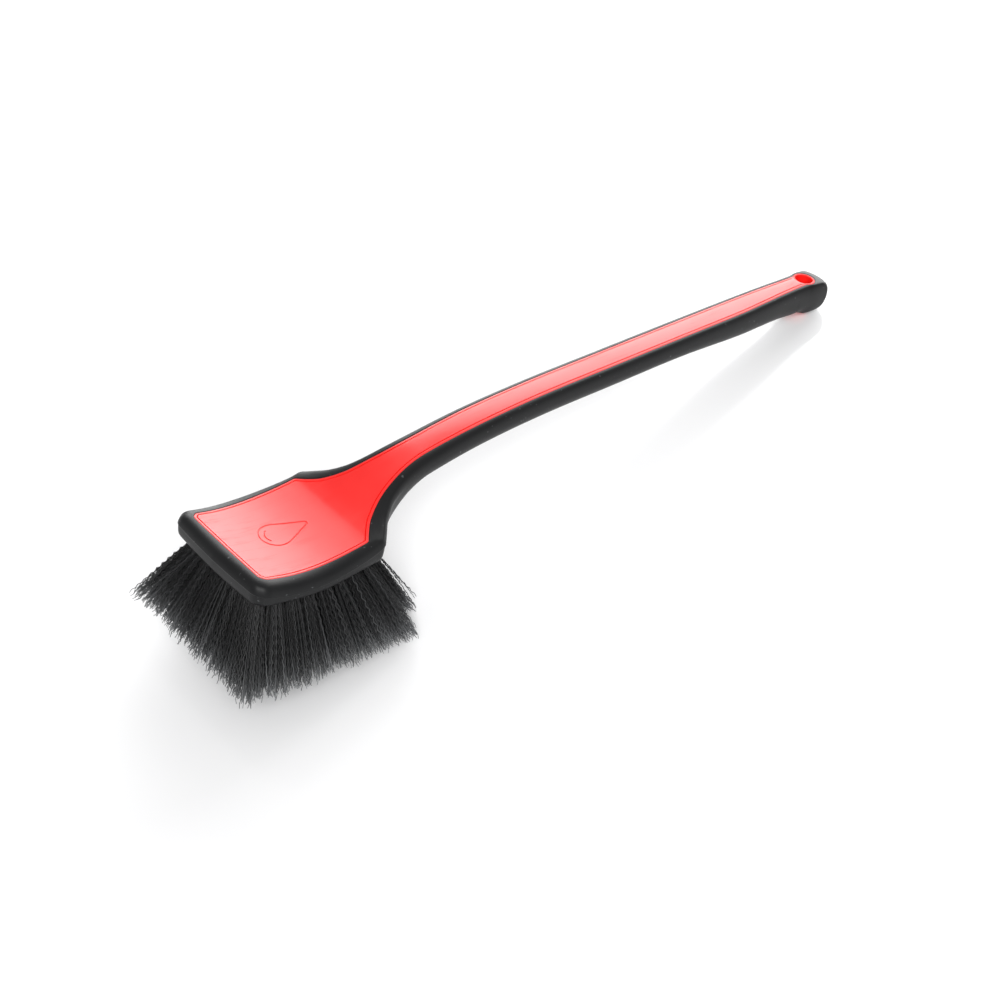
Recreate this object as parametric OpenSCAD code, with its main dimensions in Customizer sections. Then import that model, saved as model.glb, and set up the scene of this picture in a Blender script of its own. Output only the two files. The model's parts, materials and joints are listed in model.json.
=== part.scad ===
// Long-handled wheel brush.
// A rigid plastic core (head block, neck, spine and hang-hole eyelet in one moulding) is wrapped in a soft
// overmould (grip and bumper in one shot). Filament tufts are folded over flat staples in drilled holes.
// Every piece is drawn in the head's frame: x = 0 at the inlay's front edge, z = 0 at the trimmed tuft tips.
// lie() then lays the brush down, on its rear tuft tips and the underside of the handle's end.

/* [Head] */
// Length of the inlay from its front edge to the two notch corners
plate_len = 70; // [60:1:84]
// Half of the inlay's width along the head
plate_half = 34; // [30:0.5:41]
// Height of the inlay's front edge above the trimmed tuft tips
plate_z = 61; // [56:1:73]
// How far the inlay's top dips between its front edge and the notches
plate_dip = 4.5; // [1:0.5:5.5]
// How far the front edge bows forward at its middle
front_bow = 2; // [0.5:0.5:4]
// Thickness of the head block under the inlay's front edge
block_t = 13.5; // [11.5:0.5:18]
// Distance from the notch corners back to where the bare underside ends
underside_back = 16; // [14:1:20]

/* [Bumper] */
// How far the bumper stands out round the inlay of the head
bumper_w = 6.5; // [5:0.5:8]
// Depth of the bumper's rounded shoulder, down to its crease
shoulder_t = 7.5; // [5:0.5:8.5]
// Rounding under the bumper's lip
lip_r = 1.6; // [0.8:0.1:2.5]

/* [Handle] */
// Distance from the notch corners to the centre of the hang hole
handle_len = 400; // [330:5:480]
// Half-width of the red strip along the handle
strip_half = 8.2; // [7:0.1:9.5]
// Half-width of the grip along the handle
grip_half = 11.8; // [10.5:0.1:14.2]
// Depth of the grip at the middle of the handle
grip_t = 16.5; // [14:0.5:20]
// Depth of the swelling under the handle's end
pommel_t = 24; // [20:0.5:29]
// Thickness of the soft overmould under the core
belly_t = 5; // [3:0.5:6]
// Distance from the hang hole's centre to the end of the handle
nose_len = 20; // [18:0.5:24]

/* [Hang hole] */
// Radius of the hang hole
hang_r = 6; // [5:0.1:7.2]
// Wall of the eyelet round the hang hole
eyelet_wall = 1.7; // [1.2:0.1:2.2]

/* [Tufts] */
// Tufts in a full row
row_tufts = 8; // [6:1:9]
// Tufts in the shorter rear row
rear_tufts = 6; // [4:1:6]
// Radius of a drilled tuft hole
hole_r = 2.5; // [2:0.1:2.9]
// Radial gap between a tuft and its hole
tuft_gap = 0.05; // [0.02:0.01:0.1]
// Plastic left above the holes at the thinnest place
hole_roof = 1.5; // [1:0.25:2.5]
// Plastic left between the outer holes and the edge of the core
hole_margin = 2; // [1.5:0.25:3]
// Radius of a tuft at its trimmed tips
tip_r = 6; // [4.5:0.25:6.5]
// How far the front row's tips stand in front of their holes
splay_front = 17; // [10:1:22]
// How far the rear row's tips stand behind their holes
splay_rear = 28; // [18:1:34]
// How far the outer tips stand sideways from their holes
splay_side = 23; // [14:1:28]

/* [Staples] */
// Thickness of a staple's flat wire
staple_t = 0.4; // [0.3:0.05:0.5]
// Height of a staple along its hole
staple_h = 2; // [1.5:0.1:2.4]
// How far each end of a staple bites into the wall of its hole
staple_bite = 0.4; // [0.2:0.05:0.5]
// Distance from the end of the hole to the staple, filled by the fold of the tuft
staple_lift = 0.8; // [0.4:0.1:1.5]

/* [Hidden] */
$fn = 48;
full_rows = 8;                            // rows of full width; one shorter row stands behind them

block_z = plate_z - block_t;              // underside of the head block
hang_x = plate_len + handle_len;          // hang hole's centre
nose_x = hang_x + nose_len;               // end of the handle
front_x = -front_bow - bumper_w;          // foremost point of the bumper
bare_x = plate_len + underside_back;      // end of the bare underside, where the belly begins
far = 2 * nose_x;                         // longer than anything on the brush
eyelet_r = hang_r + eyelet_wall;

// Stations along the brush: [x, height of the top above plate_z, half-width of the inlay]
top_stations = [
    [0, 0, plate_half - 0.8],
    [plate_len / 2, -plate_dip, plate_half + 0.4],
    [plate_len, 0, plate_half],
    [plate_len + 10, 4, plate_half * 0.67],
    [plate_len + 20, 9.4, plate_half * 0.48],
    [plate_len + 30, 14.9, 12.6],
    [plate_len + 43, 20.6, 9.6],
    [plate_len + 58, 25.2, strip_half],
    [plate_len + 97, 33, strip_half + 0.2],
    [plate_len + 147, 39.2, strip_half],
    [hang_x - 192, 44, strip_half],
    [hang_x - 131, 48.6, strip_half],
    [hang_x - 71, 53, strip_half],
    [hang_x - 46, 55.2, strip_half - 0.9],
    [hang_x - 25, 56.9, strip_half - 1.8],
    [hang_x, 58.4, strip_half - 2],
    [nose_x, 58.6, strip_half - 2]
];

// Stations of the outer skin: [x, half-width, depth below the top]; the depth is read behind the bare underside
skin_stations = [
    [0, plate_half + bumper_w - 0.8, block_t],
    [plate_len / 2, plate_half + bumper_w + 0.6, block_t],
    [plate_len + 9, plate_half + bumper_w - 1.3, block_t + 2],
    [plate_len + 14.5, plate_half * 0.97, block_t + 5],
    [plate_len + 19, plate_half * 0.81, block_t + 7.5],
    [plate_len + 29, plate_half * 0.57, block_t + 7],
    [plate_len + 40, plate_half * 0.46, grip_t + 3],
    [plate_len + 58, grip_half + 1.4, grip_t + 1],
    [plate_len + 97, grip_half + 0.6, grip_t + 0.2],
    [plate_len + 147, grip_half, grip_t],
    [hang_x - 192, grip_half, grip_t],
    [hang_x - 131, grip_half, grip_t],
    [hang_x - 71, grip_half - 0.2, grip_t + 4],
    [hang_x - 46, grip_half - 0.6, pommel_t - 3],
    [hang_x - 25, grip_half - 1.1, pommel_t - 1.6],
    [hang_x, grip_half - 1.2, pommel_t],
    [nose_x, grip_half - 1.2, pommel_t]
];

// Slope of column c at station i, from its two neighbours
function slope(t, i, c) =
    let (a = max(i - 1, 0), b = min(i + 1, len(t) - 1)) (t[b][c] - t[a][c]) / (t[b][0] - t[a][0]);

// Smooth (cubic Hermite) reading of column c at x
function read(t, x, c) =
    let (n = len(t),
         i = x <= t[0][0] ? 0 : x >= t[n - 1][0] ? n - 2 : max([for (k = [0:n - 2]) if (t[k][0] <= x) k]),
         h = t[i + 1][0] - t[i][0],
         s = min(max((x - t[i][0]) / h, 0), 1))
    (2 * s ^ 3 - 3 * s ^ 2 + 1) * t[i][c] + (s ^ 3 - 2 * s ^ 2 + s) * h * slope(t, i, c)
    + (3 * s ^ 2 - 2 * s ^ 3) * t[i + 1][c] + (s ^ 3 - s ^ 2) * h * slope(t, i + 1, c);

function ease(s) = let (c = min(max(s, 0), 1)) c * c * (3 - 2 * c);

// Half-width left by a bowed front edge and a rounded corner, with the edge's apex at x = apex
function front_half(x, apex, half, bow, r) =
    let (side = x - apex - bow,
         corner = side >= r ? half : half - r + sqrt(max(r * r - (r - max(side, 0)) ^ 2, 0)))
    side < 0 ? (half - r) * sqrt(max(x - apex, 0) / bow) : corner;

// Handle's end: share of the width left by its rounded corners, and what its full round takes off above and below
corner_r = 5;
function nose_left(x) = x <= nose_x - corner_r ? 1 : sqrt(max(1 - ((x - nose_x + corner_r) / corner_r) ^ 2, 0));
function nose_cut(x) =
    let (r = pommel_t * 0.46) x <= nose_x - r ? 0 : r - sqrt(max(r * r - (x - nose_x + r) ^ 2, 0));

// Top of the brush along its middle, and the skin's underside
function top_z(x) = plate_z + read(top_stations, x, 1);
function skin_depth(x) = read(skin_stations, x, 2);
function belly_z(x) =
    let (swept = top_z(x) - skin_depth(x), s = ease((x - bare_x) / 26))
    block_z * (1 - s) + swept * s;
function inlay_half(x) =
    min(read(top_stations, x, 2), front_half(x, -front_bow, plate_half - 0.8, front_bow, 4.5));
function skin_half(x) =
    min(read(skin_stations, x, 1),
        front_half(x, front_x, plate_half + bumper_w - 0.8, front_bow + 0.6, 9.5)) * nose_left(x);

// Rings of the outer skin: close together round the front edge, the notches and the handle's end
front_run = [for (k = [0:7]) front_x + (bumper_w + front_bow + 4) * (k / 7) ^ 1.7];
head_run = [for (k = [1:7]) 4 + (plate_len - 4) * k / 7];
notch_run = [for (k = [1:14]) plate_len + 58 * k / 14];
grip_run = [for (k = [1:12]) plate_len + 58 + (handle_len - 58) * k / 12];
nose_run = [for (k = [1:6]) hang_x + nose_len * sin(15 * k)];
ring_x = concat(front_run, head_run, notch_run, grip_run, nose_run);

// Half of one ring of the skin, from the middle of the top round to the middle of the underside
function half_ring(x) =
    let (grip = ease((x - plate_len - 12) / 40),
         half = max(skin_half(x), 0.4),
         ahead = min(max((-front_bow - x) / bumper_w, 0), 1),
         t = top_z(x) - shoulder_t * ahead ^ 1.3 - nose_cut(x),
         b = belly_z(x) + nose_cut(x),
         tall = t - b,
         in = min(inlay_half(x), half * 0.86),
         drop = min(shoulder_t * (1 - grip) + 3.4 * grip, tall * 0.45),
         r = min(lip_r * (1 - grip) + 8 * grip, tall * 0.5, half * 0.8),
         step = half - in)
    [[0, t], [in, t],
     [in + step * 0.6, t - drop * 0.13],
     [half - step * 0.1, t - drop * 0.5],
     [half, t - drop],
     [half, (t - drop + b + r) / 2],
     for (a = [0:30:90]) [half - r + r * cos(a), b + r - r * sin(a)],
     [0, b]];

// Whole ring in the plane x, and the skin lofted through all rings
function ring(x) =
    let (h = half_ring(x), n = len(h))
    concat([for (p = h) [x, p[0], p[1]]], [for (k = [n - 2:-1:1]) [x, -h[k][0], h[k][1]]]);

module skin() {
    rings = [for (x = ring_x) ring(x)];
    n = len(rings[0]);
    m = len(rings);
    walls = [for (i = [0:m - 2], k = [0:n - 1]) let (a = i * n + k, b = i * n + (k + 1) % n)
             each [[a, b, b + n], [a, b + n, a + n]]];
    front_cap = [for (k = [1:n - 2]) [0, k + 1, k]];
    nose_cap = [for (k = [1:n - 2]) [(m - 1) * n, (m - 1) * n + k, (m - 1) * n + k + 1]];
    polyhedron(points = [for (r = rings) each r], faces = concat(walls, front_cap, nose_cap));
}

// Upright prism over the outline of the inlay, up to the hang hole
module inlay_prism() {
    xs = concat([for (k = [0:6]) -front_bow + (front_bow + 4.5) * (k / 6) ^ 1.6],
                [for (x = ring_x) if (x > 5 && x <= hang_x) x]);
    side = [for (x = xs) [x, inlay_half(x)]];
    linear_extrude(height = far)
        polygon(concat(side, [for (k = [len(side) - 1:-1:1]) [side[k][0], -side[k][1]]]));
}

// Slab across the whole brush with the given upper and lower profiles
module profile_slab(upper, lower) {
    rotate([90, 0, 0])
        translate([0, 0, -far / 2])
            linear_extrude(height = far)
                polygon(concat(upper, [for (k = [len(lower) - 1:-1:0]) lower[k]]));
}

profile_x = concat([for (x = ring_x) if (x > -front_bow && x < bare_x) x], [bare_x],
                   [for (x = ring_x) if (x > bare_x && x < nose_x) x]);
function raised(f) = [for (x = profile_x) [x, top_z(x) + f]];
ahead_x = front_x - 5;

// Space of the core without its eyelet, with its top raised by up and its bare underside lowered by down
module core_space(up, down) {
    intersection() {
        inlay_prism();
        profile_slab(
            concat([[ahead_x, plate_z + up]], raised(up)),
            concat([[ahead_x, block_z - down], [bare_x, block_z - down]],
                   [for (x = profile_x) if (x >= bare_x) [x, belly_z(x) + belly_t]]));
    }
}

module hang_bore(r) {
    translate([hang_x, 0, plate_z]) cylinder(r = r, h = far);
}

// Eyelet round the hang hole: level with the inlay's top, and with the skin's rounded belly below
module eyelet() {
    lower = [for (p = half_ring(hang_x)) if (p[1] < top_z(hang_x) - pommel_t / 2) p];
    outline = concat([[eyelet_r + 1, far]], lower);
    intersection() {
        hang_bore(eyelet_r);
        profile_slab(raised(0), [for (x = profile_x) [x, plate_z]]);
        translate([hang_x, 0, 0]) rotate([90, 0, 90])
            linear_extrude(height = 2 * eyelet_r + 2, center = true)
                polygon(concat(outline, [for (k = [len(outline) - 1:-1:0]) [-outline[k][0], outline[k][1]]]));
    }
}

// Tuft holes: row and place along the row, where each starts at the underside and where its tips end
rear_row = full_rows + 1;
first_x = hole_r + hole_margin - 0.5;      // the front edge bows forward, so the first row can stand a little ahead
last_x = bare_x - 3 * hole_r;              // clear of the row in front of it and of the end of the bare underside
function row_x(row) = first_x + (last_x - first_x) * (row - 1) / full_rows;
function row_count(row) = row == rear_row ? rear_tufts : row_tufts;
function row_half(row) =
    row == rear_row ? inlay_half(row_x(row) + hole_r) - hole_r - hole_margin
    : plate_half - 0.8 - hole_r - hole_margin - (row == 1 ? 1.6 : 0);
function tip_x(row) = row_x(row) - splay_front + (splay_front + splay_rear) * (row - 1) / full_rows;
function hole_at(row, k) =
    [row_x(row), row_half(row) * (2 * (k - 1) / (row_count(row) - 1) - 1), block_z];
function tip_at(row, k) =
    let (across = hole_at(row, k)[1]) [tip_x(row), across * (1 + splay_side / row_half(2)), 0];
hole_depth = block_t - plate_dip - hole_roof;
straight = hole_r;                        // length of a tuft that stays as wide as its hole below the block

// Children stand on their hole's mouth with +z along the hole, towards the tips, and are not turned about it
module at_hole(row, k) {
    from = hole_at(row, k);
    way = tip_at(row, k) - from;
    towards = atan2(way[1], way[0]);
    translate(from) rotate([0, acos(way[2] / norm(way)), towards]) rotate([0, 0, -towards]) children();
}

module each_hole(row) {
    for (k = [1:row_count(row)]) at_hole(row, k) children();
}

module staple() {
    translate([0, 0, -hole_depth + staple_lift + staple_h / 2])
        cube([2 * (hole_r + staple_bite), staple_t, staple_h], center = true);
}

module tuft(reach) {
    shank_r = hole_r - tuft_gap;
    translate([0, 0, -hole_depth]) cylinder(r = shank_r, h = hole_depth + straight);
    translate([0, 0, straight]) cylinder(r1 = shank_r, r2 = tip_r, h = reach);
}

module drilled_holes(row) {
    each_hole(row) {
        translate([0, 0, -hole_depth]) cylinder(r = hole_r, h = hole_depth + straight);
        staple();
    }
}

// The brush lies on the rear tips and on the first part of the handle's end that the floor meets
rest_x = tip_x(rear_row) + tip_r * 1.15;
lie_angle = min([for (x = ring_x) if (x > hang_x - 60) atan2(half_ring(x)[len(half_ring(x)) - 1][1], x - rest_x)]);
front_reach = (tip_x(1) - tip_r * 1.1) * cos(lie_angle);
nose_reach = nose_x * cos(lie_angle) + (top_z(nose_x) - pommel_t / 2) * sin(lie_angle);
middle_x = (front_reach + nose_reach) / 2;
rest_z = -rest_x * sin(lie_angle);

module lie() {
    translate([-middle_x, 0, -rest_z]) rotate([0, lie_angle, 0]) children();
}

module handle_core() {
    color("red") lie() difference() {
        union() {
            core_space(0, 0);
            eyelet();
        }
        hang_bore(hang_r);
        for (row = [1:rear_row]) drilled_holes(row);
    }
}

module grip_overmould() {
    color([0.13, 0.13, 0.14]) lie() difference() {
        skin();
        core_space(5, 5);
        hang_bore(eyelet_r);
    }
}

module tufts(row) {
    color([0.08, 0.08, 0.08]) lie() for (k = [1:row_count(row)])
        intersection() {
            at_hole(row, k) difference() {
                tuft(norm(tip_at(row, k) - hole_at(row, k)) + tip_r);
                staple();
            }
            translate([-far / 2, -far / 2, 0]) cube(far);
        }
}

module staples(row) {
    color("silver") lie() each_hole(row) staple();
}

handle_core();
grip_overmould();
tufts(1);  // tufts_row_1
tufts(2);  // tufts_row_2
tufts(3);  // tufts_row_3
tufts(4);  // tufts_row_4
tufts(5);  // tufts_row_5
tufts(6);  // tufts_row_6
tufts(7);  // tufts_row_7
tufts(8);  // tufts_row_8
tufts(9);  // tufts_row_9
staples(1);  // staples_row_1
staples(2);  // staples_row_2
staples(3);  // staples_row_3
staples(4);  // staples_row_4
staples(5);  // staples_row_5
staples(6);  // staples_row_6
staples(7);  // staples_row_7
staples(8);  // staples_row_8
staples(9);  // staples_row_9
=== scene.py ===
"""Visual model of a long-handled wheel brush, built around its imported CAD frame.

Shapes are worked out in millimetres in the head's frame: x runs from the inlay's front edge to the handle's end,
y across the head, and z up from the plane of the trimmed bristle tips. lay() then puts them where the CAD lies.
"""
import json

import bmesh
import bpy
import numpy as np
from mathutils import Matrix, Vector


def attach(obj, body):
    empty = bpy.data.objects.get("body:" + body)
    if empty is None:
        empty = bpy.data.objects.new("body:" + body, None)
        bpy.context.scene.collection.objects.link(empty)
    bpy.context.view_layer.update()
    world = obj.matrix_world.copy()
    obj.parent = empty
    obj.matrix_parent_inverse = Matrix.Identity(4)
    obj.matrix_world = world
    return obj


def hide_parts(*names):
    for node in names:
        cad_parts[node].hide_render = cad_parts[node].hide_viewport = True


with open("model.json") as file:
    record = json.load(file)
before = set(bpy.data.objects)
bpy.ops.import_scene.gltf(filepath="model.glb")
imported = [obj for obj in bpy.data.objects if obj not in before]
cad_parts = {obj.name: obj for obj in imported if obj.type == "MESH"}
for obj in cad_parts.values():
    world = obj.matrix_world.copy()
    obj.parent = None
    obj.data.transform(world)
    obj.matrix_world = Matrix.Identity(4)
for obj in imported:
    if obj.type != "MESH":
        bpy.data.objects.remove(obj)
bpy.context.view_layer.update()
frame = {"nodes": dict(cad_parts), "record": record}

# Camera: a long lens looks down on the brush from the front left, a little out of level.
camera_place = Vector((-0.51715, -0.5770, 0.72513))
look = Vector((0.46094, 0.55095, -0.6957))
roll = np.radians(-1.82)
camera_data = bpy.data.cameras.new("camera")
camera_data.sensor_width = 36
camera_data.lens = 60.6
camera = bpy.data.objects.new("camera", camera_data)
bpy.context.collection.objects.link(camera)
turned = look.to_track_quat("-Z", "Y").to_matrix() @ Matrix.Rotation(roll, 3, "Z")
camera.matrix_world = Matrix.Translation(camera_place) @ turned.to_4x4()
bpy.context.scene.camera = camera


# Rigid core: one red moulding makes the head block, the neck, the handle's spine and the eyelet of the hang hole.
# Its top shows as an inlay with a raised rim, and a fine gutter runs all round inside the rim. The rest is inside.
MM = 0.001
hang_hole = frame["record"]["mounts"][0]
hang_x = 470.0
hole_middle_z = 107.4
tilt = np.arctan2(hang_hole["axis"][0], hang_hole["axis"][2])
hole_r = hang_hole["dims"]["r_mm"]
eyelet_r = hole_r + 1.7


def lay(points):
    """Head's frame in mm to the row's frame in m: turned by tilt about y, then moved so that the hang holes meet.

    x' = x cos(tilt) + z sin(tilt) and z' = z cos(tilt) - x sin(tilt).
    """
    def turn(x, z):
        return x * np.cos(tilt) + z * np.sin(tilt), z * np.cos(tilt) - x * np.sin(tilt)
    points = np.asarray(points, float)
    x, z = turn(points[..., 0], points[..., 2])
    hole_x, hole_z = turn(hang_x, hole_middle_z)
    middle = hang_hole["pos_m"]
    return np.stack([(x - hole_x) * MM + middle[0], points[..., 1] * MM, (z - hole_z) * MM + middle[2]], -1)


def smooth(knots, x, column=1):
    """Cubic through the knots at x; the slope at each knot is that of the line between its two neighbours."""
    knots = np.asarray(knots, float)
    at, value = knots[:, 0], knots[:, column]
    before, after = np.maximum(np.arange(len(at)) - 1, 0), np.minimum(np.arange(len(at)) + 1, len(at) - 1)
    slope = (value[after] - value[before]) / (at[after] - at[before])
    i = np.clip(np.searchsorted(at, x, side="right") - 1, 0, len(at) - 2)
    h = at[i + 1] - at[i]
    s = np.clip((x - at[i]) / h, 0, 1)
    return ((2 * s ** 3 - 3 * s ** 2 + 1) * value[i] + (s ** 3 - 2 * s ** 2 + s) * h * slope[i]
            + (3 * s ** 2 - 2 * s ** 3) * value[i + 1] + (s ** 3 - s ** 2) * h * slope[i + 1])


def ease(s):
    """0 up to s = 0, 1 from s = 1, and 3s^2 - 2s^3 between them."""
    s = np.clip(s, 0, 1)
    return s * s * (3 - 2 * s)


def spline(points, step=0.25):
    """Smooth plan curve through the points, as points about step apart along it."""
    points = np.asarray(points, float)
    along = np.concatenate([[0], np.cumsum(np.linalg.norm(np.diff(points, axis=0), axis=1))])
    at = np.linspace(0, along[-1], max(int(along[-1] / step), 3))
    table = np.column_stack([along, points])
    return np.column_stack([smooth(table, at, 1), smooth(table, at, 2)])


def walk(path, count, start=0.0, end=1.0):
    """count points at equal distances along the path, from its share start to its share end."""
    along = np.concatenate([[0], np.cumsum(np.linalg.norm(np.diff(path, axis=0), axis=1))])
    at = np.linspace(start, end, count) * along[-1]
    return np.column_stack([np.interp(at, along, path[:, 0]), np.interp(at, along, path[:, 1])])


def round_corners(legs, windows):
    """Joins the legs and rounds their corners: each point becomes the mean of the path over a window about it.

    The window is windows[i] wide at the joint after leg i, and narrows away from it to a least width. The path is
    carried past its two ends by its mirror image, so that it meets y = 0 square.
    """
    least_half, narrowing = 0.3, 0.25
    path = np.vstack([legs[0]] + [leg[1:] for leg in legs[1:]])
    along = np.concatenate([[0], np.cumsum(np.linalg.norm(np.diff(path, axis=0), axis=1))])
    ends = np.cumsum([len(leg) - 1 for leg in legs])[:-1]
    half = np.full(len(path), least_half)
    for end, window in zip(ends, windows):
        half = np.maximum(half, window / 2 - narrowing * np.abs(along - along[end]))
    mirror = np.array([1, -1])
    full = np.vstack([path[:0:-1] * mirror, path, path[-2::-1] * mirror])
    s = np.concatenate([[0], np.cumsum(np.linalg.norm(np.diff(full, axis=0), axis=1))])
    s -= s[len(path) - 1]
    step = np.diff(s)[:, None]
    total = np.vstack([[0, 0], np.cumsum((full[1:] + full[:-1]) / 2 * step, axis=0)])

    def integral(at):
        return np.column_stack([np.interp(at, s, total[:, 0]), np.interp(at, s, total[:, 1])])
    rounded = (integral(along + half) - integral(along - half)) / (2 * half[:, None])
    rounded[[0, -1], 1] = 0
    starts = [0, *ends, len(path) - 1]
    return [rounded[a:b + 1] for a, b in zip(starts[:-1], starts[1:])]


def arc(centre_x, radius, start, end, count=60):
    """Arc about (centre_x, 0), with its angles in degrees."""
    angle = np.radians(np.linspace(start, end, count))
    return np.column_stack([centre_x + radius * np.cos(angle), radius * np.sin(angle)])


# Top of the brush along its middle, and the height of the overmould's lip and belly.
top_knots = [[-12, 63.2], [0, 61], [10, 58.9], [20, 57.4], [30, 56.8], [40, 57.0], [50, 57.9], [60, 59.3],
             [70, 61.2], [75, 62.9], [80, 65.1], [90, 70.4], [100, 75.9], [113, 81.6], [128, 86.2], [167, 94],
             [217, 100.2], [278, 105], [339, 109.6], [399, 114], [424, 116.2], [445, 117.9], [470, 119.4],
             [492, 119.7]]
belly_knots = [[-12, 47.6], [0, 47.6], [35, 44.9], [70, 47.7], [86, 47.5], [93, 49.2], [100, 52], [106, 56],
               [112, 61], [120, 65.9], [128, 69], [167, 77.3], [217, 83.7], [278, 88.5], [339, 93.1],
               [399, 93.6], [424, 94.9], [445, 95.6], [470, 95.4], [492, 95.6]]
# The core's underside is bare up to bare_x, at the height block_z; past it the overmould's belly covers it.
bare_x = 86.0
block_z = 47.5
belly_wall = 5.0
strip_end = 126.6                    # where the strip runs into the eyelet, in degrees round the hole

# Legs of the inlay's outline, from the middle of its front edge to the hang hole, and round the eyelet.
front_leg = spline([[-0.5, 0], [-0.4, 17], [0, 33.4]])
side_leg = spline([[0, 33.4], [35, 34.6], [70.3, 34.3]])
neck_leg = spline([[70.3, 34.3], [75, 28.4], [80, 23], [85.9, 18.7]])
gate_leg = spline([[85.9, 18.7], [86.1, 18.6]], 0.02)
grip_leg = spline([[86.1, 18.6], [92, 15.4], [100, 12.6], [113, 9.7], [128, 8.4], [167, 8.4], [217, 8.2],
                   [339, 8.2], [399, 8.2], [424, 7.5], [445, 6.7], [455, 6.4]])
last_leg = spline([[455, 6.4], [460, 6.25], [465.41, 6.18]])
tip_leg = arc(hang_x, eyelet_r, strip_end, 0)
inlay_legs = round_corners([front_leg, side_leg, neck_leg, gate_leg, grip_leg, last_leg, tip_leg],
                           [12, 2.6, 0.6, 0.6, 2, 0.6])
leg_counts = [70, 90, 40, 14, 230, 24, 48]


def share_out(legs, counts=tuple(leg_counts)):
    """The legs as one run of points, counts[i] to leg i, with each joint given once."""
    runs = [walk(leg, count) for leg, count in zip(legs, counts)]
    return np.vstack([runs[0]] + [run[1:] for run in runs[1:]])


def across(x):
    """A straight run along the middle of the brush, through the given places."""
    return np.column_stack([x, np.zeros(len(x))])


edge = share_out(inlay_legs)
heading = np.gradient(edge, axis=0)
heading /= np.linalg.norm(heading, axis=1)[:, None]
inward = np.column_stack([heading[:, 1], -heading[:, 0]])

# Where the inlay's two halves meet: the middle of the brush, then the front of the eyelet.
spine_legs = [across(np.linspace(3, 17, 30)), across(np.linspace(17, 66, 30)), across(np.linspace(66, 85.9, 30)),
              across(np.linspace(85.9, 86.1, 5)), across(np.linspace(86.1, 455, 300)),
              np.vstack([across(np.linspace(455, hang_x - eyelet_r, 20)), arc(hang_x, eyelet_r, 180, strip_end)]),
              np.repeat(inlay_legs[5][-1:], 3, axis=0)]
spine = share_out(spine_legs)
strip = slice(0, sum(leg_counts[:6]) - 5)          # the run up to the eyelet


def gutter(q):
    """Drop of the inlay's top at the distance q inside its edge: a flat rim, then a fine round-bottomed gutter."""
    rim = 0.25 * (1 - ease(q / 0.35))
    trench = 1.05 * np.maximum(1 - ((q - 1.85) / 0.34) ** 2, 0) ** 0.7
    return rim + trench


def add_mesh(name, points, faces, merge=None):
    """A mesh object from points in the head's frame and quads; merge is the distance that joins doubles, in mm."""
    mesh = bpy.data.meshes.new(name)
    mesh.vertices.add(len(points))
    mesh.vertices.foreach_set("co", lay(points).astype(np.float32).ravel())
    mesh.loops.add(faces.size)
    mesh.loops.foreach_set("vertex_index", faces.astype(np.int32).ravel())
    mesh.polygons.add(len(faces))
    mesh.polygons.foreach_set("loop_start", np.arange(0, faces.size, faces.shape[1], dtype=np.int32))
    mesh.update(calc_edges=True)
    if merge:
        work = bmesh.new()
        work.from_mesh(mesh)
        bmesh.ops.remove_doubles(work, verts=work.verts, dist=merge * MM)
        bmesh.ops.dissolve_degenerate(work, edges=work.edges, dist=merge * MM)
        bmesh.ops.recalc_face_normals(work, faces=work.faces)
        work.to_mesh(mesh)
        work.free()
    mesh.shade_smooth()
    made = bpy.data.objects.new(name, mesh)
    bpy.context.collection.objects.link(made)
    return made


def wrap(rows, columns, closed_rows=False, closed_columns=True):
    """Quads over a grid of rows x columns points, numbered row by row."""
    number = np.arange(rows * columns).reshape(rows, columns)
    if closed_columns:
        number = np.hstack([number, number[:, :1]])
    if closed_rows:
        number = np.vstack([number, number[:1]])
    return np.stack([number[:-1, :-1], number[:-1, 1:], number[1:, 1:], number[1:, :-1]], -1).reshape(-1, 4)


def mirrored_shell(name, rings):
    """Closed skin over rings[station, place], each ring closed, joined to its mirror image across y = 0.

    Faces that lie in the mirror plane are inside the piece and are left out.
    """
    half = rings.reshape(-1, 3)
    faces = wrap(*rings.shape[:2])
    inside = (np.abs(half[faces][..., 1]) < 1e-6).all(axis=1)
    faces = faces[~inside]
    other = half * [1, -1, 1]
    return add_mesh(name, np.vstack([half, other]), np.vstack([faces, faces[:, ::-1] + len(half)]), merge=0.004)


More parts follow.
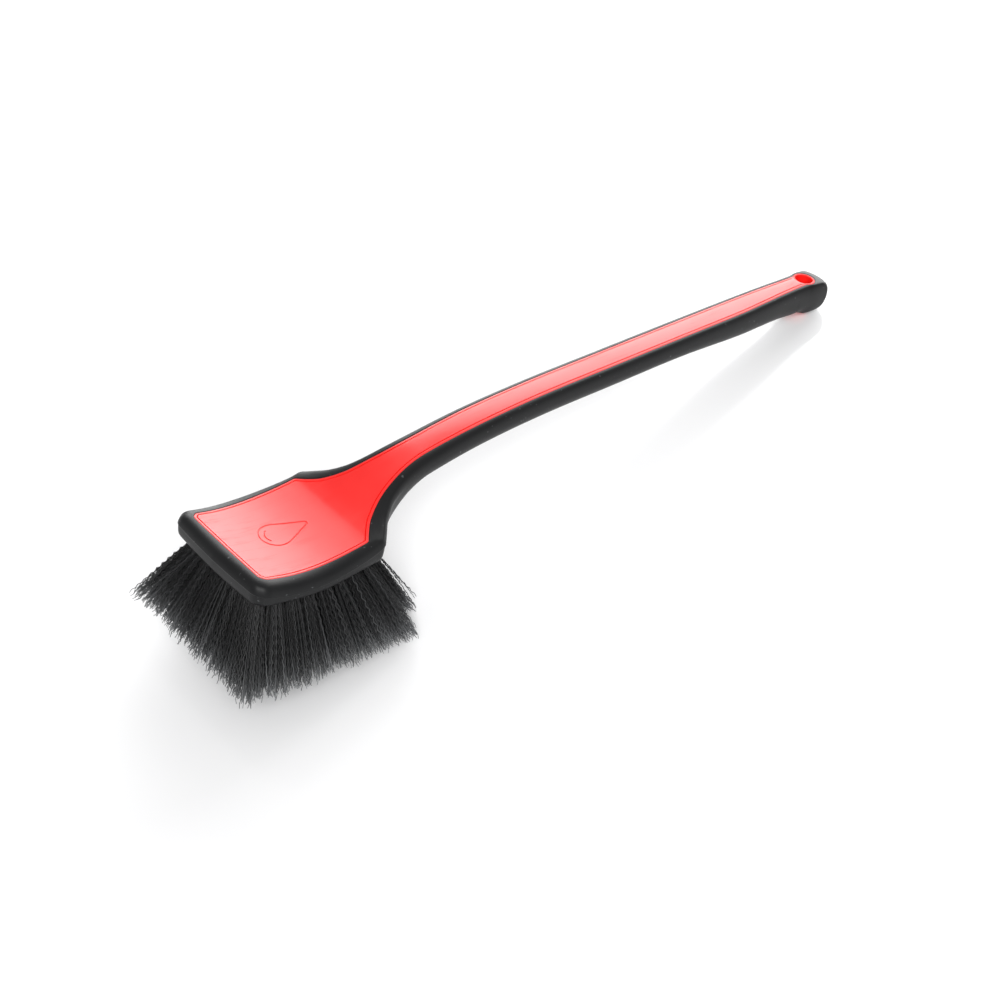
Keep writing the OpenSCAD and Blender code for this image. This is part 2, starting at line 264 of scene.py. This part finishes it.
def core_rings():
    """Rings of the core: in from the edge over rim and gutter to the middle, down, back out along the bottom.

    A point at q mm inside the edge is edge + q * inward; further in, points share the way to the spine evenly.
    Rim and gutter draw together where the spine is nearer than rim_room, and the grip's top is crowned.
    """
    rim_room = 4.0
    lane_count, floor_count = 26, 9
    crown_h, crown_from, crown_run = 0.5, 90, 60
    rim, ridge = edge[strip], spine[strip]
    reach = np.linalg.norm(ridge - rim, axis=1)
    near = np.array([0, 0.08, 0.18, 0.3, 0.5, 1.0, 1.48, 1.53, 1.62, 1.74, 1.85, 1.96, 2.08, 2.17, 2.22, 2.5, 3.0])
    room = np.minimum(1, reach / rim_room)[:, None]
    q = near * room
    top = rim[:, None] + q[..., None] * inward[strip][:, None]
    drop = gutter(near)[None] * room
    lanes = np.linspace(0, 1, lane_count + 1)[1:, None]
    inner = top[:, -1:] * (1 - lanes) + ridge[:, None] * lanes
    plan = np.concatenate([top, inner], axis=1)
    drop = np.concatenate([drop, np.zeros((len(rim), lane_count))], axis=1)
    half_width = np.maximum(rim[:, 1], 1)[:, None]
    crown = crown_h * (1 - (plan[..., 1] / half_width) ** 2) * ease((plan[..., 0] - crown_from) / crown_run)
    height = smooth(top_knots, plan[..., 0]) + crown - drop
    upper = np.concatenate([plan, height[..., None]], axis=-1)
    back = np.linspace(1, 0, floor_count)[None, :, None]
    floor_plan = rim[:, None] * (1 - back) + ridge[:, None] * back
    bare = floor_plan[..., 0] < bare_x
    floor_z = np.where(bare, block_z, smooth(belly_knots, floor_plan[..., 0]) + belly_wall)
    lower = np.concatenate([floor_plan, floor_z[..., None]], axis=-1)
    return np.concatenate([upper, lower], axis=1)


def hoops(paths, radius, corners, aside):
    """Corner points round each joint of the paths: joint + radius (cos a * n + sin a * b).

    n is square to the path and to aside, and b is square to both.
    """
    run = np.gradient(paths, axis=-2)
    n = np.cross(run, aside)
    n /= np.linalg.norm(n, axis=-1, keepdims=True)
    b = np.cross(run, n)
    b /= np.linalg.norm(b, axis=-1, keepdims=True)
    angle = np.arange(corners)[:, None] * 2 * np.pi / corners
    ring = np.cos(angle) * n[..., None, :] + np.sin(angle) * b[..., None, :]
    return paths[..., None, :] + np.asarray(radius)[..., None, None] * ring


# Seventy blind holes are drilled in the underside for the tufts: eight rows of eight and a shorter row of six.
row_count = sum(name.startswith("tufts_row_") for name in frame["nodes"])
full_rows = row_count - 1
tufts_in_row, tufts_in_last = 8, 6
drill_r, drill_depth, drill_overrun = 2.5, 7.5, 1.5
first_x, last_x = 4.0, 78.5
splay_front, splay_rear, splay_side = 17.0, 28.0, 23.0
outer_hole, outer_hole_front, outer_hole_last = 28.7, 27.1, 17.4


def row_holes(row):
    """Places of a row's holes on the underside, and of its tufts' tips, in the head's frame."""
    share = (row - 1) / full_rows
    x = first_x + (last_x - first_x) * share
    count = tufts_in_last if row == row_count else tufts_in_row
    half = {1: outer_hole_front, row_count: outer_hole_last}.get(row, outer_hole)
    y = np.linspace(-half, half, count)
    tip = x - splay_front + (splay_front + splay_rear) * share
    roots = np.column_stack([np.full(count, x), y, np.full(count, block_z)])
    tips = np.column_stack([np.full(count, tip), y * (1 + splay_side / outer_hole), np.zeros(count)])
    return roots, tips


def rod(name, path, radius, corners, aside=(0, 0, 1)):
    """A closed rod along the path; its ends are drawn in to a point."""
    path = np.vstack([path[:1], path, path[-1:]])
    middle = hoops(path[1:-1], np.full(len(path) - 2, radius), corners, aside)
    ends = [np.repeat(end[None, None], corners, axis=1) for end in (path[0], path[-1])]
    points = np.concatenate([ends[0], middle, ends[1]])
    return add_mesh(name, points.reshape(-1, 3), wrap(len(points), corners), merge=0.001)


# A fine emblem is engraved in the middle of the head: the outline of a drop of water with a glint in it.
drop_x, drop_r, tip_r = 33.0, 9.5, 1.6
tip_reach = 19.0
touch = np.degrees(np.arccos((drop_r - tip_r) / tip_reach))
drop = np.vstack([arc(drop_x, drop_r, 181, 360 - touch), arc(drop_x + tip_reach, tip_r, -touch, touch, 16),
                  arc(drop_x, drop_r, touch, 179)])
glint_r = 6.2
glint = arc(drop_x, glint_r, 115, 215)
stylus_r, stylus_lift, stylus_corners = 0.5, 0.12, 8
drill_corners = 16


def engraved(plan, count):
    """The plan curve laid on the inlay's top, lifted a little so that the stylus cuts a shallow groove."""
    plan = walk(plan, count)
    return np.column_stack([plan, smooth(top_knots, plan[:, 0]) + stylus_lift])


def carve(body, tools):
    """Cuts the rods in tools out of the body, all at once, and removes them."""
    work = bmesh.new()
    for tool in tools:
        work.from_mesh(tool.data)
        bpy.data.objects.remove(tool)
    cutter_mesh = bpy.data.meshes.new("cutter")
    work.to_mesh(cutter_mesh)
    work.free()
    cutter = bpy.data.objects.new("cutter", cutter_mesh)
    bpy.context.collection.objects.link(cutter)
    cut = body.modifiers.new("cut", "BOOLEAN")
    cut.operation = "DIFFERENCE"
    cut.solver = "EXACT"
    cut.object = cutter
    bpy.context.view_layer.update()
    carved = bpy.data.meshes.new_from_object(body.evaluated_get(bpy.context.evaluated_depsgraph_get()))
    body.modifiers.clear()
    body.data = carved
    bpy.data.objects.remove(cutter)


core = mirrored_shell("core", core_rings())
cuts = [rod("drop", engraved(drop, 150), stylus_r, stylus_corners),
        rod("glint", engraved(glint, 26), stylus_r, stylus_corners)]
for row in range(1, row_count + 1):
    for root, tip in zip(*row_holes(row)):
        along = (root - tip) / np.linalg.norm(root - tip)
        bore = np.array([root - drill_overrun * along, root + drill_depth * along])
        cuts.append(rod("drill", bore, drill_r, drill_corners, (1, 0, 0)))
carve(core, cuts)
core.data.set_sharp_from_angle(angle=np.radians(38))


class Socket:
    """A value in a material's nodes. Its + - * and ** add Math nodes, and add() adds any other node."""

    def __init__(self, tree, output=None):
        self.tree, self.output = tree, output

    def add(self, kind, settings=None, inputs=None, output=0):
        node = self.tree.nodes.new(kind)
        for name, value in (settings or {}).items():
            if name == "stops":
                ramp = node.color_ramp
                while len(ramp.elements) < len(value):
                    ramp.elements.new(0.5)
                for stop, (place, colour) in zip(ramp.elements, value):
                    stop.position, stop.color = place, colour
            else:
                setattr(node, name, value)
        for name, value in (inputs or {}).items():
            if isinstance(value, Socket):
                self.tree.links.new(value.output, node.inputs[name])
            else:
                node.inputs[name].default_value = value
        return Socket(self.tree, node.outputs[output])

    def math(self, operation, first, second=0.0):
        return self.add("ShaderNodeMath", {"operation": operation}, {0: first, 1: second})

    def __add__(self, other):
        return self.math("ADD", self, other)

    def __sub__(self, other):
        return self.math("SUBTRACT", self, other)

    def __mul__(self, other):
        return self.math("MULTIPLY", self, other)

    def __pow__(self, other):
        return self.math("POWER", self, other)

    def __rsub__(self, other):
        return self.math("SUBTRACT", other, self)

    __radd__, __rmul__ = __add__, __mul__

    def above(self, low, high):
        """0 below low, 1 above high, straight between them."""
        return self.add("ShaderNodeMapRange", None, {"Value": self, "From Min": low, "From Max": high})

    def noise(self, scale, detail=2.0, place=None):
        """Noise of that many grains to the metre, 0 to 1, on the piece's own coordinates."""
        return self.add("ShaderNodeTexNoise", None,
                        {"Vector": place or self.place(), "Scale": scale, "Detail": detail})

    def place(self, stretch=(1, 1, 1)):
        """The piece's own coordinates in metres, multiplied by stretch along each axis."""
        at = self.add("ShaderNodeTexCoord", output=3)
        return self.add("ShaderNodeVectorMath", {"operation": "MULTIPLY"}, {0: at, 1: stretch})

    def tint(self, factor, low, high):
        """Colour that goes from low to high with the factor."""
        return self.add("ShaderNodeMix", {"data_type": "RGBA"}, {0: factor, 6: low, 7: high}, output=2)

    def bump(self, height, distance, strength=1.0):
        return self.add("ShaderNodeBump", None, {"Height": height, "Distance": distance, "Strength": strength})


def finish_material(name, build, **fixed):
    """A material whose constant inputs are in fixed; build(value) gives the inputs that vary over the surface."""
    material = bpy.data.materials.new(name)
    material.use_nodes = True
    tree = material.node_tree
    shader = tree.nodes["Principled BSDF"]
    for name_of_input, value in fixed.items():
        shader.inputs[name_of_input.replace("_", " ").title().replace("Ior", "IOR")].default_value = value
    for name_of_input, socket in build(Socket(tree)).items():
        tree.links.new(socket.output, shader.inputs[name_of_input])
    return material


def moulded_red(value):
    """Satin plastic with faint flow marks from the mould, hairline scratches and a fine skin."""
    flow = value.noise(38, 3, value.place((0.35, 1, 1)))
    fine = value.noise(900, 2)
    scratch = value.noise(60, 4, value.place((0.25, 6, 1)))
    lines = scratch.above(0.56, 0.6) * scratch.above(0.64, 0.6)
    colour = value.tint(flow.above(0.35, 0.7), (0.80, 0.010, 0.008, 1), (0.88, 0.018, 0.014, 1))
    height = flow * 0.5 + fine * 0.06 - lines * 0.12
    return {"Base Color": colour, "Roughness": flow * 0.16 + lines * 0.12 + 0.26,
            "Normal": value.bump(height, 0.0002, 0.5)}


red = finish_material("moulded_red", moulded_red, specular_ior_level=0.5)
core.data.materials.append(red)
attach(core, "root")
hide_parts("handle_core")

# Soft overmould: black rubbery skin shot round the core. It makes the two-banded bumper round the head, the
# rounded sides and belly of the grip, and the swollen end. It stops at a parting line against the red rim.
outer_front = spline([[-8.6, 0], [-7.9, 20], [-6.4, 41]])
outer_side = spline([[-6.4, 41], [35, 42.4], [79.2, 39.2]])
outer_neck = spline([[79.2, 39.2], [84.5, 33], [89, 27.6], [92.6, 24.2]])
outer_gate = spline([[92.6, 24.2], [92.9, 23.9]], 0.02)
outer_grip = spline([[92.9, 23.9], [99, 19.6], [108, 16.4], [119, 14.6], [132, 13.7], [167, 13.0], [217, 12.6],
                     [339, 12.6], [399, 12.3], [424, 11.6], [445, 10.9], [455, 10.8]])
outer_last = spline([[455, 10.8], [460, 10.95], [466, 11.2]])
outer_legs = round_corners([outer_front, outer_side, outer_neck, outer_gate, outer_grip, outer_last,
                            spline([[466, 11.2], [476, 11.8], [487, 12]]),
                            spline([[487, 12], [489.2, 5], [489.6, 0]])],
                           [21, 4.2, 0.6, 0.6, 0.6, 0.6, 8])
outer_legs = outer_legs[:6] + [np.vstack([outer_legs[6], outer_legs[7][1:]])]
outer = share_out(outer_legs)

# Where the skin ends underneath: below the inlay's edge, across the back of the bare underside, then the middle.
under_legs = inlay_legs[:3] + [np.array([[85.9, 18.65], [86, 18.6], [86, 0], [86.1, 0]]),
                               across(np.linspace(86.1, 455, 300)),
                               np.vstack([across(np.linspace(455, hang_x - eyelet_r, 20)),
                                          arc(hang_x, eyelet_r, 180, strip_end)]), inlay_legs[6]]
under = share_out(under_legs)

# Shoulder from the parting line out to the widest place: share of the way out, and drop in mm.
head_shoulder = np.array([[0, 0.3], [0.04, 0.02], [0.16, 0.08], [0.34, 0.35], [0.54, 0.95], [0.72, 1.9],
                          [0.86, 3.4], [0.95, 5.2], [0.99, 6.4], [1, 7.0]])
grip_shoulder = np.array([[0, 0.3], [0.06, 0.02], [0.15, 0.02], [0.3, 0.12], [0.5, 0.45], [0.68, 1.1],
                          [0.82, 2.1], [0.92, 3.4], [0.98, 5.0], [1, 7.0]])
# Side and underside from the widest place in: share of the way in, and share of the depth below the shoulder.
head_side = np.array([[0, 0], [0.035, 0.05], [0.042, 0.2], [0.052, 0.5], [0.09, 0.78], [0.2, 0.95],
                      [0.36, 1.0], [0.65, 1.0], [1, 1.0]])
grip_side = np.array([[0, 0], [0.01, 0.14], [0.05, 0.34], [0.14, 0.56], [0.3, 0.77], [0.5, 0.91],
                      [0.75, 0.985], [1, 1.0]])


def through(points, count):
    """count places along a smooth curve through the points, evenly by point number."""
    number = np.arange(len(points), dtype=float)
    table = np.column_stack([number, points])
    at = np.linspace(0, len(points) - 1, count)
    return np.column_stack([smooth(table, at, 1), smooth(table, at, 2)])


def cut_short(sections, run, far):
    """Each section up to its own share far of the run, as the same number of points, by straight interpolation."""
    at = run * far[:, None] * (len(run) - 1)
    low = np.minimum(at.astype(int), len(run) - 2)[..., None]
    part = at[..., None] - low
    return np.take_along_axis(sections, low, 1) * (1 - part) + np.take_along_axis(sections, low + 1, 1) * part


def skin_rings():
    """Rings of the overmould: over the shoulder, down the side, in along the underside, and back up inside.

    The section changes from the head's to the grip's along the neck. Its widest place sinks at the swollen end.
    Underneath, it stops at its share stop of the way to the middle, which is less than 1 round the eyelet.
    """
    shoulder_points, side_points, turned_up = 26, 30, 5
    grip_from, grip_run = 79, 30
    swell, swell_from, swell_run = 0.6, 440, 30
    straight_in = 11.0                             # how far in mm the section keeps its own rate inwards
    x = edge[:, 0]
    grip = ease((x - grip_from) / grip_run)[:, None, None]
    shoulder = through(head_shoulder, shoulder_points) * (1 - grip) + through(grip_shoulder, shoulder_points) * grip
    shoulder[..., 1] *= 1 + swell * ease((x - swell_from) / swell_run)[:, None] * shoulder[..., 0]
    grip_section = through(grip_side, side_points)
    side = through(head_side, side_points) * (1 - grip) + grip_section * grip
    belly = smooth(belly_knots, np.where(x > bare_x, under[:, 0], x))[:, None]
    out_plan = edge[:, None] + (outer - edge)[:, None] * shoulder[..., :1]
    out_z = smooth(top_knots, out_plan[..., 0]) - shoulder[..., 1]
    centre = np.array([hang_x, 0])
    share = np.linalg.norm(outer - under, axis=1) / np.linalg.norm(outer - centre, axis=1)
    last = sum(leg_counts[:6]) - 6
    begin = last - leg_counts[5] + 1
    stop = np.ones(len(x))
    stop[last:] = share[last:]
    stop[begin:last] = 1 + (share[last] - 1) * ease(np.linspace(0, 1, last - begin))
    run = np.linspace(0, 1, side_points)
    far = np.where(stop < 1, np.interp(stop, np.maximum.accumulate(grip_section[:, 0]), run), 1.0)
    rows = cut_short(side, run, far)[:, 1:]
    way_in = rows[..., :1] / stop[:, None, None]
    square = np.minimum(1, straight_in * stop / np.linalg.norm(outer - under, axis=1))[:, None, None]
    in_plan = outer[:, None] + (under - outer)[:, None] * way_in * (square + (1 - square) * way_in)
    in_z = out_z[:, -1:] + (belly - out_z[:, -1:]) * rows[..., 1]
    bare = (x < bare_x)[:, None]
    lip = in_z[:, -turned_up:]
    in_z[:, -turned_up:] = np.where(bare, lip + (block_z - lip) * np.linspace(0.2, 1, turned_up), lip)
    outside = np.concatenate([np.concatenate([out_plan, in_plan], 1),
                              np.concatenate([out_z, in_z], 1)[..., None]], -1)
    roof = np.where(bare, block_z, belly) + belly_wall
    ledge = np.stack([np.column_stack([under, roof[:, 0]]), np.column_stack([edge, roof[:, 0]])], 1)
    return np.concatenate([outside, ledge], axis=1)


skin_shape = skin_rings()
skin = mirrored_shell("overmould", skin_shape)


def soft_black(value):
    """Matt rubbery plastic: fine spark-eroded grain, cloudy wear, and a few pale specks of dust and scuffs."""
    grain = value.noise(2600, 2)
    cloud = value.noise(55, 3)
    specks = value.noise(420, 1).above(0.735, 0.77)
    colour = value.tint(specks * 0.25 + cloud * 0.02, (0.0055, 0.0057, 0.0062, 1), (0.24, 0.25, 0.26, 1))
    return {"Base Color": colour, "Roughness": cloud * 0.14 + grain * 0.06 + 0.32,
            "Normal": value.bump(grain + cloud * 0.4, 0.00006, 0.6)}


black = finish_material("soft_black", soft_black, specular_ior_level=0.22)
skin.data.materials.append(black)
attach(skin, "root")
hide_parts("grip_overmould")

# Eyelet: the core's round boss lines the hang hole from the top to the belly, with rounded rims at both ends. Its
# wall is duller than the inlay. Underneath, its mouth follows the edge of the overmould, which is the third point
# from the end of each of the skin's rings.
eyelet_corners = 96
ring_x, ring_y, ring_z = skin_shape[-leg_counts[6] - leg_counts[5]:, -3].T
ring_angle = np.degrees(np.arctan2(ring_y, ring_x - hang_x))
on_ring = np.hypot(ring_x - hang_x, ring_y) < eyelet_r + 0.05
order = np.argsort(ring_angle[on_ring])
turn = np.linspace(-180, 180, eyelet_corners + 1)[:-1]
mouth = np.interp(np.abs(turn), ring_angle[on_ring][order], ring_z[on_ring][order])[:, None]
rim = np.array([[0, 0.55], [0.06, 0.25], [0.22, 0.06], [0.5, 0], [0.95, 0], [1.25, 0.07], [1.5, 0.25],
                [1.64, 0.5], [1.7, 0.95]])
reach = eyelet_r - np.concatenate([rim[:, 0], rim[::-1, 0]])[None]
face_x = hang_x + reach * np.cos(np.radians(turn))[:, None]
face_y = reach * np.sin(np.radians(turn))[:, None]
upper_z = smooth(top_knots, face_x[:, :len(rim)]) - rim[:, 1]
lower_z = np.broadcast_to(mouth + rim[::-1, 1], upper_z.shape)
eyelet_points = np.stack([face_x, face_y, np.concatenate([upper_z, lower_z], 1)], -1)
eyelet_faces = wrap(eyelet_corners, 2 * len(rim), closed_rows=True)
eyelet = add_mesh("eyelet", eyelet_points.reshape(-1, 3), eyelet_faces, merge=0.001)
bore_red = finish_material("eyelet_red", moulded_red, specular_ior_level=0.2)
eyelet.data.materials.append(bore_red)
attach(eyelet, "root")
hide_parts("handle_core")

# Tufts: bundles of crimped black filaments, folded over flat staples and pulled into holes drilled in the head's
# underside. Outer rows lean out, tufts open like fans and are trimmed to one plane, with flagged greyish ends.
bundle = 140                                       # filaments in a tuft
segments = 24
filament_r = 0.29
crimp = 0.48
fan = np.array([6.4, 6.9])                         # half of a tuft's spread at its tips, along and across the head
reach_y = 60.5                                     # no tip goes further out to the side than this
sunk = 0.12                                        # share of a filament's length that is inside its hole
opening, opening_power = 0.1, 0.65
stray_share, stray_share_last = 0.008, 0.03
tip_spread, tip_jitter, front_drop = 1.2, 1.3, 1.8
crimp_rise = 8
table_gap = 0.0002                                 # least height over the table, in metres
seeds = np.random.default_rng(7)


def filament_paths(row):
    """Paths[filament, joint]: straight from hole to tip, bowed a little, with a zigzag crimp across it.

    P(t) = axis(t) + disc (1 - s) + fan s + bow 4t(1 - t) + crimp (-1)^j side, where joint j lies at
    t = j / segments and s = ((t - opening) / (1 - opening))^opening_power, so that the bundle opens soon after
    the hole. A filament keeps its place in the bundle. A few strays have sprung out, most in the last row.
    """
    roots, tips = row_holes(row)
    n = len(roots) * bundle
    spot = seeds.uniform(-1, 1, (n, 2))
    disc = spot * np.sqrt(1 - spot[:, ::-1] ** 2 / 2)
    root = np.repeat(roots + (roots - tips) * sunk, bundle, axis=0)
    tip = np.repeat(tips, bundle, axis=0)
    tip[:, 2] += seeds.normal(0, tip_spread, n) - front_drop * (1 - ease((tip[:, 0] + 20) / 90))
    stray = seeds.uniform(0, 1, n) < (stray_share_last if row == row_count else stray_share)
    out = (tip - root) * [1, 1, 0] / np.linalg.norm((tip - root)[:, :2], axis=1)[:, None]
    spring = np.where(stray, seeds.uniform(3, 10, n), 0)[:, None]
    spread = spot * fan + seeds.normal(0, tip_jitter, (n, 2)) + out[:, :2] * spring
    spread[:, 1] = np.clip(tip[:, 1] + spread[:, 1], -reach_y, reach_y) - tip[:, 1]
    spread = np.column_stack([spread, 0.6 * spring[:, 0]])
    disc = np.column_stack([disc * (drill_r - filament_r), np.zeros(n)])
    t = np.linspace(0, 1, segments + 1)[None, :, None]
    opened = (np.maximum(t - opening, 0) / (1 - opening)) ** opening_power
    run = tip - root
    bow = np.cross(run, seeds.normal(0, 1, (n, 3)))
    bow *= (seeds.normal(0, 1.3, n) / np.linalg.norm(bow, axis=1))[:, None]
    side = np.cross(run, seeds.normal(0, 1, (n, 3)))
    side /= np.linalg.norm(side, axis=1)[:, None]
    zigzag = np.where(np.arange(segments + 1) % 2, 1.0, -1.0)[None, :, None]
    swing = crimp * seeds.uniform(0.6, 1.3, (n, 1, 1)) * ease((t - sunk) * crimp_rise)
    fanned = disc[:, None] * (1 - opened) + spread[:, None] * opened
    axis = root[:, None] + run[:, None] * t
    return axis + fanned + bow[:, None] * 4 * t * (1 - t) + side[:, None] * zigzag * swing


def filament_mesh(name, paths):
    """Three-sided tubes round the paths, tapered near the tips and closed at both ends; also the two attributes.

    along is 0 at the hole and 1 at the tip, and shade is one random number to a filament.
    """
    count, joints = paths.shape[:2]
    t = np.linspace(0, 1, joints)
    radius = np.broadcast_to(filament_r * (1 - 0.35 * ease((t - 0.9) / 0.1)), (count, joints))
    placed = lay(hoops(paths, radius, 3, (0.3, 0.9, 0.1)).reshape(-1, 3))
    placed[:, 2] = np.maximum(placed[:, 2], table_gap)
    tube = wrap(joints, 3)
    first_point = (np.arange(count) * joints * 3)[:, None, None]
    faces = (tube[None] + first_point).reshape(-1, 4)
    caps = np.array([[2, 1, 0], [joints * 3 - 3, joints * 3 - 2, joints * 3 - 1]])
    caps = (caps[None] + first_point).reshape(-1, 3)
    mesh = bpy.data.meshes.new(name)
    mesh.vertices.add(len(placed))
    mesh.vertices.foreach_set("co", placed.astype(np.float32).ravel())
    corners = np.concatenate([faces[:, ::-1].ravel(), caps[:, ::-1].ravel()]).astype(np.int32)
    sizes = np.concatenate([np.full(len(faces), 4), np.full(len(caps), 3)])
    mesh.loops.add(len(corners))
    mesh.loops.foreach_set("vertex_index", corners)
    mesh.polygons.add(len(sizes))
    mesh.polygons.foreach_set("loop_start", (np.cumsum(sizes) - sizes).astype(np.int32))
    mesh.update(calc_edges=True)
    mesh.shade_smooth()
    for label, values in (("along", np.tile(np.repeat(t, 3), count)),
                          ("shade", np.repeat(seeds.uniform(0, 1, count), joints * 3))):
        mesh.attributes.new(label, "FLOAT", "POINT").data.foreach_set("value", values.astype(np.float32))
    made = bpy.data.objects.new(name, mesh)
    bpy.context.collection.objects.link(made)
    return made


def crimped_black(value):
    """Black filament, paler in some and at the ends, where the cut and split tips scatter light."""
    along = value.add("ShaderNodeAttribute", {"attribute_name": "along"}, output=2)
    shade = value.add("ShaderNodeAttribute", {"attribute_name": "shade"}, output=2)
    frayed = (along ** 7) * (shade * 0.7 + 0.3)
    pale = frayed * 0.85 + (shade ** 6) * 0.12 + shade * shade * 0.02
    colour = value.tint(pale, (0.0035, 0.0035, 0.004, 1), (0.30, 0.31, 0.32, 1))
    return {"Base Color": colour, "Roughness": shade * 0.2 + 0.3}


filament_black = finish_material("crimped_black", crimped_black, specular_ior_level=0.45)
for row in range(1, row_count + 1):
    bristles = filament_mesh(f"bristles_row_{row}", filament_paths(row))
    bristles.data.materials.append(filament_black)
    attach(bristles, "root")
    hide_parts(f"tufts_row_{row}")

# Staples: short lengths of flat steel wire, driven into the holes to hold the folded filaments. They are small and
# hidden in the head, so they keep the shape of their CAD solids and only take a finish here.
def drawn_steel(value):
    """Bright wire with fine drawing marks."""
    marks = value.noise(4000, 2, value.place((1, 0.05, 1)))
    return {"Base Color": value.tint(marks, (0.5, 0.5, 0.5, 1), (0.68, 0.68, 0.66, 1)),
            "Roughness": marks * 0.2 + 0.25}


steel = finish_material("drawn_steel", drawn_steel, metallic=1.0)
for name, node in frame["nodes"].items():
    if name.startswith("staples_row_"):
        node.data.materials.clear()
        node.data.materials.append(steel)

# Stage: a pale, slightly glossy table. A large soft box behind the brush stands in for a lit backdrop, a second
# one at the front left is the key light, and an even white surround fills the shadows.
table = bpy.data.meshes.new("table")
table.from_pydata([(-6, -6, 0), (6, -6, 0), (6, 6, 0), (-6, 6, 0)], [], [(0, 1, 2, 3)])
table = bpy.data.objects.new("table", table)
bpy.context.collection.objects.link(table)
white = finish_material("pale_table", lambda value: {}, base_color=(0.93, 0.93, 0.935, 1), roughness=0.16)
table.data.materials.append(white)


def soft_box(name, place, aim, width, height, power):
    """A rectangular area light at place, turned towards aim; sizes in metres, power in watts."""
    light = bpy.data.lights.new(name, "AREA")
    light.shape = "RECTANGLE"
    light.size, light.size_y = width, height
    light.energy = power
    made = bpy.data.objects.new(name, light)
    bpy.context.collection.objects.link(made)
    turned = (Vector(aim) - Vector(place)).to_track_quat("-Z", "Y").to_matrix().to_4x4()
    made.matrix_world = Matrix.Translation(place) @ turned


soft_box("backdrop", (2.6, 1.9, 1.1), (0, 0, 0.1), 3.6, 2.4, 155)
soft_box("key", (-2.0, -2.6, 3.2), (0, 0, 0), 2.6, 2.6, 160)
world = bpy.data.worlds.new("studio")
world.use_nodes = True
world.node_tree.nodes["Background"].inputs["Color"].default_value = (1, 1, 1, 1)
world.node_tree.nodes["Background"].inputs["Strength"].default_value = 0.5
bpy.context.scene.world = world
bpy.context.scene.view_settings.view_transform = "Standard"
